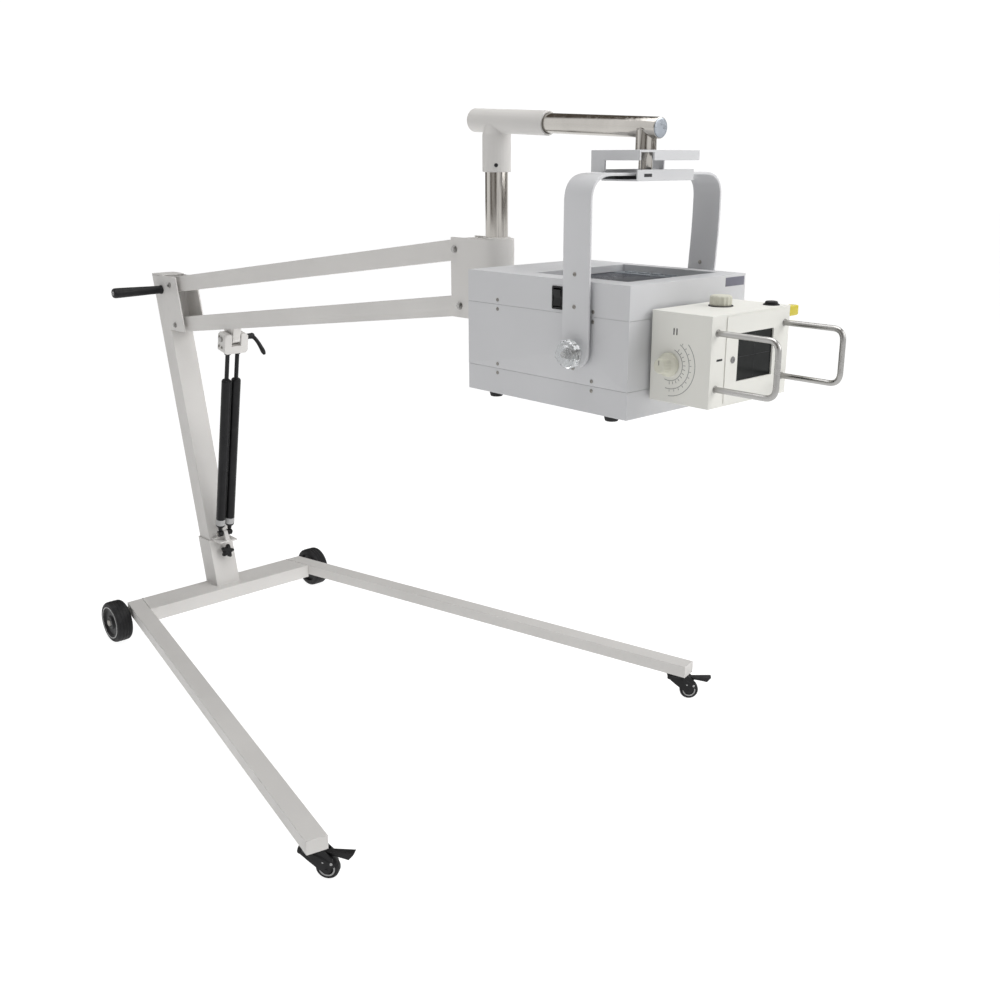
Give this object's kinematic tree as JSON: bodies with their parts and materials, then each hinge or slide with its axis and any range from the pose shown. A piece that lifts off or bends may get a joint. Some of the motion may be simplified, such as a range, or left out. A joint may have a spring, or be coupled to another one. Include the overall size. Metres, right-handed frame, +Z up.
{
  "type": "mobile x-ray stand",
  "caption": "Portable X-ray generator with collimator, hung in a tilting yoke from a balanced parallelogram arm on a splayed wheeled stand",
  "frame": {"origin": "centre of the bounding box, on the floor under the wheels", "axes": "+Z up, the generator and the open end of the legs face -Y, +X to the right of someone who faces the way +Y points"},
  "size_m": [1.2839, 2.3224, 1.5112],
  "materials": {
    "frame_white": "light warm grey powder coat",
    "bracket_white": "painted light warm grey",
    "case_white": "cool light grey powder coat",
    "collimator_cream": "cream textured paint",
    "steel": "bright drawn steel",
    "chrome": "polished chrome plate",
    "black_plastic": "moulded black plastic",
    "tyre_black": "black rubber",
    "spring_black": "black painted tube",
    "knob_beige": "greenish beige moulding",
    "screen_glass": "dark blue-grey display panel",
    "window_glass": "dark clear window",
    "clear_acrylic": "clear acrylic",
    "latch_yellow": "yellow moulding",
    "tank_metal": "potted tank",
    "board_green": "circuit board"
  },
  "bodies": {
    "base": {"rear_crossbar": "frame_white", "left_leg": "frame_white", "right_leg": "frame_white", "column_socket": "frame_white", "column": "frame_white", "arm_clevis": "frame_white", "push_grip": "black_plastic", "left_axle": "steel", "right_axle": "steel", "spring_anchor": "frame_white", "spring_lower_pin": "steel", "upper_rear_bolt": "steel", "lower_rear_bolt": "steel"},
    "socket_clamp": {"socket_knob": "black_plastic"},
    "left_wheel": {"left_hub": "black_plastic", "left_tyre": "tyre_black"},
    "right_wheel": {"right_hub": "black_plastic", "right_tyre": "tyre_black"},
    "left_caster": {"left_caster_fork": "black_plastic"},
    "left_roller": {"left_caster_wheel": "tyre_black"},
    "left_brake": {"left_brake_pedal": "black_plastic"},
    "right_caster": {"right_caster_fork": "black_plastic"},
    "right_roller": {"right_caster_wheel": "tyre_black"},
    "right_brake": {"right_brake_pedal": "black_plastic"},
    "upper_arm": {"upper_bar": "frame_white"},
    "lower_arm": {"lower_bar": "frame_white"},
    "head": {"head_bracket": "bracket_white", "upper_front_bolt": "steel", "lower_front_bolt": "steel"},
    "spring_cylinders": {"left_spring_cylinder": "spring_black", "right_spring_cylinder": "spring_black"},
    "spring_rods": {"left_spring_rod": "steel", "right_spring_rod": "steel", "spring_clevis": "frame_white"},
    "clamp_lever": {"clevis_lever": "black_plastic"},
    "mast": {"post": "chrome", "tee_fitting": "frame_white", "arm_tube": "chrome", "swivel_stub": "chrome"},
    "hanger": {"upper_hanger": "frame_white", "lower_hanger": "frame_white", "yoke": "frame_white"},
    "left_clamp": {"left_clamp_knob": "clear_acrylic"},
    "right_clamp": {"right_clamp_knob": "clear_acrylic"},
    "generator": {"case_lower": "case_white", "case_middle": "case_white", "case_top": "case_white", "screen": "screen_glass", "tube_tank": "tank_metal", "inverter_board": "board_green", "collimator_housing": "collimator_cream", "collimator_window": "window_glass", "yellow_latch": "latch_yellow", "left_handle": "steel", "right_handle": "steel"},
    "dial": {"shutter_dial": "knob_beige"},
    "shutter": {"collimator_shutter": "steel"},
    "lamp_knob": {"top_knob": "knob_beige"},
    "button": {"lamp_button": "black_plastic"},
    "switch": {"rocker_switch": "black_plastic"}
  },
  "joints": [
    {"name": "socket_clamp_turn", "type": "hinge", "parent": "base", "child": "socket_clamp", "pos_m": [-0.018, 0.91033, 0.211], "axis": [0, -0.9776, 0.2107], "range_deg": [0, 180]},
    {"name": "left_wheel_roll", "type": "hinge", "parent": "base", "child": "left_wheel", "pos_m": [-0.376, 0.942, 0.0625], "axis": [1, 0, 0], "continuous": true},
    {"name": "left_caster_swivel", "type": "hinge", "parent": "base", "child": "left_caster", "pos_m": [-0.61298, -0.45748, 0.074], "axis": [0, 0, 1], "continuous": true},
    {"name": "left_caster_roll", "type": "hinge", "parent": "left_caster", "child": "left_roller", "pos_m": [-0.59205, -0.48428, 0.025], "axis": [0.788, 0.6157, 0], "continuous": true},
    {"name": "left_brake_press", "type": "hinge", "parent": "left_caster", "child": "left_brake", "pos_m": [-0.59821, -0.4764, 0.059], "axis": [0.788, 0.6157, 0], "range_deg": [0, 10]},
    {"name": "right_wheel_roll", "type": "hinge", "parent": "base", "child": "right_wheel", "pos_m": [0.332, 0.942, 0.0625], "axis": [1, 0, 0], "continuous": true},
    {"name": "right_caster_swivel", "type": "hinge", "parent": "base", "child": "right_caster", "pos_m": [0.56898, -0.45748, 0.074], "axis": [0, 0, 1], "continuous": true},
    {"name": "right_caster_roll", "type": "hinge", "parent": "right_caster", "child": "right_roller", "pos_m": [0.59217, -0.48235, 0.025], "axis": [0.7314, 0.682, 0], "continuous": true},
    {"name": "right_brake_press", "type": "hinge", "parent": "right_caster", "child": "right_brake", "pos_m": [0.58535, -0.47504, 0.059], "axis": [0.7314, 0.682, 0], "range_deg": [0, 10]},
    {"name": "lift", "type": "hinge", "parent": "base", "child": "lower_arm", "pos_m": [-0.022, 1.0345, 0.92], "axis": [1, 0, 0], "range_deg": [-15, 15]},
    {"name": "upper_bar_follow", "type": "hinge", "parent": "base", "child": "upper_arm", "pos_m": [-0.022, 1.0505, 1.0405], "axis": [1, 0, 0], "range_deg": [-15, 15]},
    {"name": "head_level", "type": "hinge", "parent": "lower_arm", "child": "head", "pos_m": [-0.022, -0.2985, 1.101], "axis": [1, 0, 0], "range_deg": [-15, 15]},
    {"name": "spring_swing", "type": "hinge", "parent": "base", "child": "spring_cylinders", "pos_m": [-0.022, 0.8895, 0.278], "axis": [1, 0, 0], "range_deg": [-1.5, 1.5]},
    {"name": "spring_stroke", "type": "slide", "parent": "spring_cylinders", "child": "spring_rods", "axis": [0, -0.2088, 0.978], "range_m": [-0.0728, 0.0728]},
    {"name": "clamp_lever_turn", "type": "hinge", "parent": "spring_rods", "child": "clamp_lever", "pos_m": [-0.022, 0.755, 0.908], "axis": [1, 0, 0], "range_deg": [-30, 30]},
    {"name": "post_swivel", "type": "hinge", "parent": "head", "child": "mast", "pos_m": [-0.022, -0.377, 1.0757], "axis": [0, 0, 1], "range_deg": [-90, 90]},
    {"name": "yoke_swivel", "type": "hinge", "parent": "mast", "child": "hanger", "pos_m": [-0.022, -0.78, 1.4255], "axis": [0, 0, 1], "range_deg": [-120, 120]},
    {"name": "head_tilt", "type": "hinge", "parent": "hanger", "child": "generator", "pos_m": [-0.022, -0.78, 1.072], "axis": [1, 0, 0], "range_deg": [-60, 50]},
    {"name": "left_clamp_turn", "type": "hinge", "parent": "hanger", "child": "left_clamp", "pos_m": [-0.022, -0.78, 1.072], "axis": [1, 0, 0], "range_deg": [0, 180]},
    {"name": "right_clamp_turn", "type": "hinge", "parent": "hanger", "child": "right_clamp", "pos_m": [-0.022, -0.78, 1.072], "axis": [1, 0, 0], "range_deg": [0, 180]},
    {"name": "dial_turn", "type": "hinge", "parent": "generator", "child": "dial", "pos_m": [-0.1375, -0.948, 1.065], "axis": [-1, 0, 0], "range_deg": [0, 90]},
    {"name": "shutter_slide", "type": "slide", "parent": "generator", "child": "shutter", "axis": [1, 0, 0], "range_m": [0, 0.03]},
    {"name": "lamp_knob_turn", "type": "hinge", "parent": "generator", "child": "lamp_knob", "pos_m": [-0.01, -0.957, 1.157], "axis": [0, 0, 1], "range_deg": [-45, 45]},
    {"name": "button_press", "type": "slide", "parent": "generator", "child": "button", "axis": [0, 0, -1], "range_m": [0, 0.002], "stiffness_N_per_m": 300},
    {"name": "switch_rock", "type": "hinge", "parent": "generator", "child": "switch", "pos_m": [-0.182, -0.7235, 1.166], "axis": [0, 1, 0], "range_deg": [0, 8]}
  ],
  "couplings": [
    {"joint": "upper_bar_follow", "follows": "lift", "ratio": 1},
    {"joint": "head_level", "follows": "lift", "ratio": -1},
    {"joint": "spring_swing", "follows": "lift", "ratio": 0.0685},
    {"joint": "spring_stroke", "follows": "lift", "m_per_rad": -0.27423},
    {"joint": "shutter_slide", "follows": "dial_turn", "m_per_rad": 0.0191}
  ]
}
